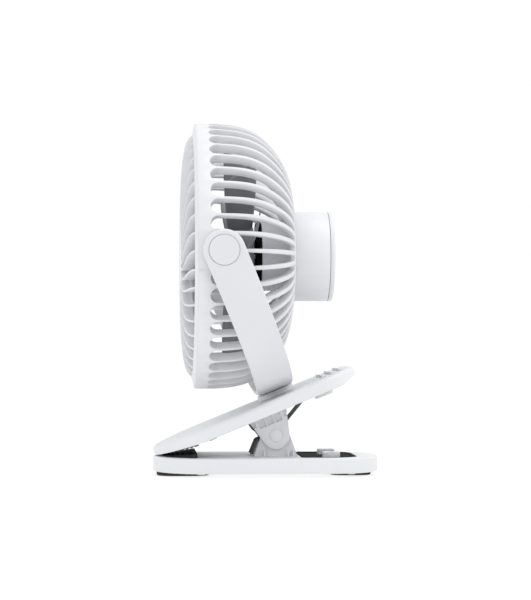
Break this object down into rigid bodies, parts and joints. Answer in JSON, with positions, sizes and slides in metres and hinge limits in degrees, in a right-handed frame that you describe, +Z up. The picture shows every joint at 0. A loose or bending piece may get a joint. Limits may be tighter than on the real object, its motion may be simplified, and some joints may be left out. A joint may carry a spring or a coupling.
{
  "type": "clip-on desk fan",
  "caption": "Compact fan with a round caged head that tilts in a U yoke, swivels on a sprung clamp jaw and stands on the clamp's flat base.",
  "frame": {"origin": "on the ground under the middle of the base", "axes": "+X across the fan along the tilt axis, -Y the way the air leaves, +Z up"},
  "size_m": [0.2018, 0.1559, 0.244],
  "materials": {
    "white_shell": "satin moulded ABS",
    "white_inner": "fine matt moulded ABS",
    "cage_white": "satin moulded ABS",
    "arm_white": "satin moulded ABS",
    "badge_white": "polished ABS",
    "blade_grey": "satin grey plastic",
    "black_rubber": "matt rubber",
    "grey_rubber": "matt rubber",
    "dark_mat": "matt rubber",
    "bumper_grey": "smooth silicone",
    "pin_cap": "white painted steel",
    "screw_steel": "zinc plated",
    "spring_steel": "black oxide",
    "nylon": "natural nylon",
    "black_plastic": "moulded",
    "circuit_board": "solder mask",
    "lens": "clear",
    "led_chip": "moulded",
    "battery_wrap": "foil wrap",
    "motor_black": "black paint",
    "motor_steel": "plated",
    "magnet": "sintered",
    "bronze": "sintered bronze",
    "armature": "lamination and copper"
  },
  "bodies": {
    "base": {"base_cover": "white_shell", "base_plate": "white_inner", "base_screws": "screw_steel", "front_foot": "black_rubber", "rear_foot": "black_rubber", "lower_pad": "black_rubber", "base_mat": "dark_mat", "base_bumpers": "bumper_grey", "hinge_pin": "pin_cap", "pin_clip": "screw_steel", "hinge_sleeve": "nylon", "torsion_spring": "spring_steel"},
    "jaw": {"upper_jaw": "white_shell", "jaw_plate": "white_inner", "jaw_screws": "screw_steel", "upper_pad": "grey_rubber", "jaw_bumpers": "bumper_grey", "spring_loop": "spring_steel", "swivel_collar": "white_shell", "swivel_washer": "nylon", "swivel_bolt": "screw_steel", "swivel_nut": "screw_steel"},
    "yoke": {"yoke": "arm_white", "pivot_caps": "arm_white"},
    "head": {"rear_cage": "cage_white", "front_grille": "cage_white", "front_badge": "badge_white", "pivot_bolts": "screw_steel", "pivot_washers": "nylon", "pod_shell": "white_shell", "pod_screws": "screw_steel", "motor_screws": "screw_steel", "rear_cap": "white_shell", "button_spring": "spring_steel", "button_switch": "black_plastic", "control_board": "circuit_board", "usb_socket": "screw_steel", "led_lenses": "lens", "led_chips": "led_chip", "battery": "battery_wrap", "motor_endplate": "motor_black", "motor_can": "motor_steel", "motor_magnets": "magnet", "front_bearing": "bronze", "rear_bearing": "bronze"},
    "rotor": {"impeller": "blade_grey", "motor_shaft": "screw_steel", "motor_armature": "armature"},
    "button": {"power_button": "badge_white"}
  },
  "joints": [
    {"name": "clamp_hinge", "type": "hinge", "parent": "base", "child": "jaw", "pos_m": [0, 0.006, 0.0274], "axis": [-1, 0, 0], "range_deg": [0, 45], "stiffness_Nm_per_rad": 1, "springref_deg": -34.38, "deforming": ["torsion_spring"]},
    {"name": "swivel", "type": "hinge", "parent": "jaw", "child": "yoke", "pos_m": [0, -0.033, 0.1516], "axis": [0, -0.3875, 0.9219], "range_deg": [-180, 180]},
    {"name": "head_tilt", "type": "hinge", "parent": "yoke", "child": "head", "pos_m": [0, -0.033, 0.1516], "axis": [1, 0, 0], "range_deg": [-90, 90]},
    {"name": "rotor_spin", "type": "hinge", "parent": "head", "child": "rotor", "pos_m": [0, -0.033, 0.1516], "axis": [0, 1, 0], "continuous": true},
    {"name": "power_button_press", "type": "slide", "parent": "head", "child": "button", "axis": [0, -1, 0], "range_m": [0, 0.001], "stiffness_N_per_m": 150, "springref_m": -0.0005, "deforming": ["button_spring"]}
  ]
}
